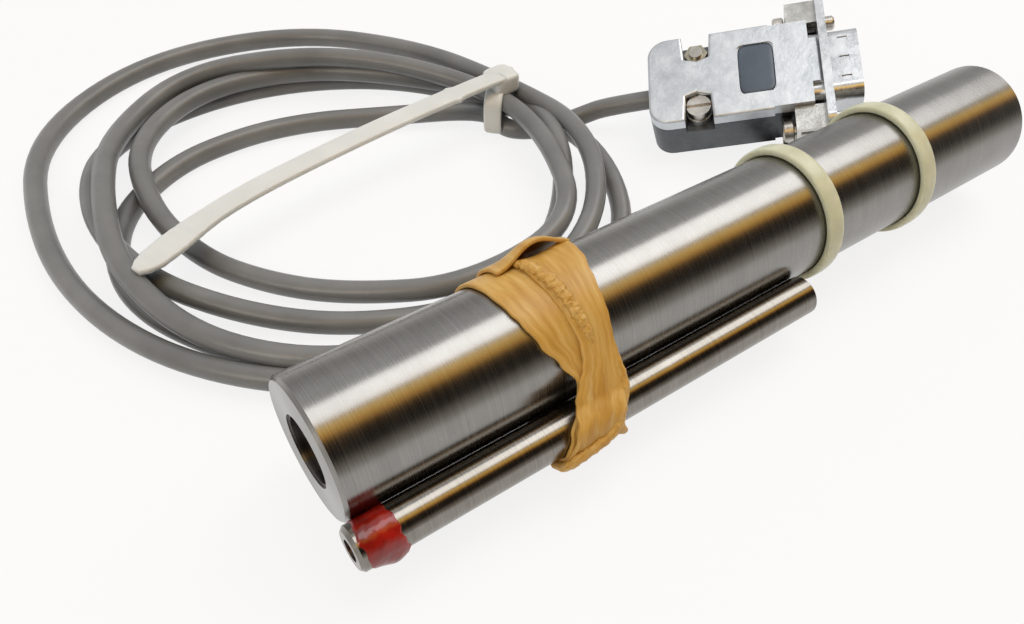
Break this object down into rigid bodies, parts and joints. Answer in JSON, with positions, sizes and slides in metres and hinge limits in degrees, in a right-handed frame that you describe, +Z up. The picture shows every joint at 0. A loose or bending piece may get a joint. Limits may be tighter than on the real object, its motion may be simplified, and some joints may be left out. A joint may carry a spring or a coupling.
{
  "type": "linear displacement sensor",
  "caption": "Round steel linear displacement sensor with a through bore, its loose core rod banded alongside, and a coiled tied cable ending in a metal-hooded D plug.",
  "frame": {"origin": "on the surface it rests on, below the middle of the box round the housing, core, rings and band", "axes": "+X along the housing from its open front face to its rear cap, +Y to the side where the cable lies, +Z up"},
  "size_m": [0.1551, 0.1408, 0.0273],
  "materials": {
    "black_nylon": "moulded",
    "black_rubber": "matt",
    "board_laminate": "matt",
    "bobbin_plastic": "moulded",
    "bore_stainless": "drawn",
    "brass_nut": "turned",
    "cable_pvc": "extruded",
    "core_alloy": "ground, painted red at one end",
    "enamelled_copper": "enamelled",
    "gold_brass": "gold flashed",
    "ground_stainless": "ground",
    "latex": "satin",
    "natural_nylon": "moulded",
    "nickel_steel": "plated",
    "pale_silicone": "satin",
    "plated_zinc": "die-cast and plated",
    "shield_alloy": "annealed",
    "tinned_steel": "plated",
    "wire_pvc": "extruded"
  },
  "bodies": {
    "sensor": {"bore_liner": "bore_stainless", "cable_coil": "cable_pvc", "cable_exit_run": "cable_pvc", "cable_ferrule": "nickel_steel", "cable_grommet": "black_rubber", "cable_plug_lead": "cable_pvc", "cable_tie": "natural_nylon", "coil_bobbin": "bobbin_plastic", "core_rod": "core_alloy", "hood_lid": "plated_zinc", "hood_screw_far": "nickel_steel", "hood_screw_near": "nickel_steel", "hood_screw_nut": "brass_nut", "hood_tray": "plated_zinc", "housing_tube": "ground_stainless", "jackscrew_saddle_far": "nickel_steel", "jackscrew_saddle_near": "nickel_steel", "magnetic_shield": "shield_alloy", "plug_front_shell": "tinned_steel", "plug_insulator": "black_nylon", "plug_pins": "gold_brass", "plug_rear_shell": "tinned_steel", "primary_winding": "enamelled_copper", "rear_end_cap": "ground_stainless", "rubber_band": "latex", "rubber_ring_front": "pale_silicone", "rubber_ring_rear": "pale_silicone", "secondary_winding_front": "enamelled_copper", "secondary_winding_rear": "enamelled_copper", "terminal_board": "board_laminate", "winding_leads": "wire_pvc"},
    "jackscrew_near_body": {"jackscrew_near": "nickel_steel"},
    "jackscrew_far_body": {"jackscrew_far": "nickel_steel"}
  },
  "joints": [
    {"name": "jackscrew_near_turn", "type": "hinge", "parent": "sensor", "child": "jackscrew_near_body", "pos_m": [0.04676, 0.01692, 0.01242], "axis": [0.7131, -0.6488, 0.2656], "continuous": true},
    {"name": "jackscrew_far_turn", "type": "hinge", "parent": "sensor", "child": "jackscrew_far_body", "pos_m": [0.06064, 0.03576, 0.02118], "axis": [0.7131, -0.6488, 0.2656], "continuous": true}
  ]
}
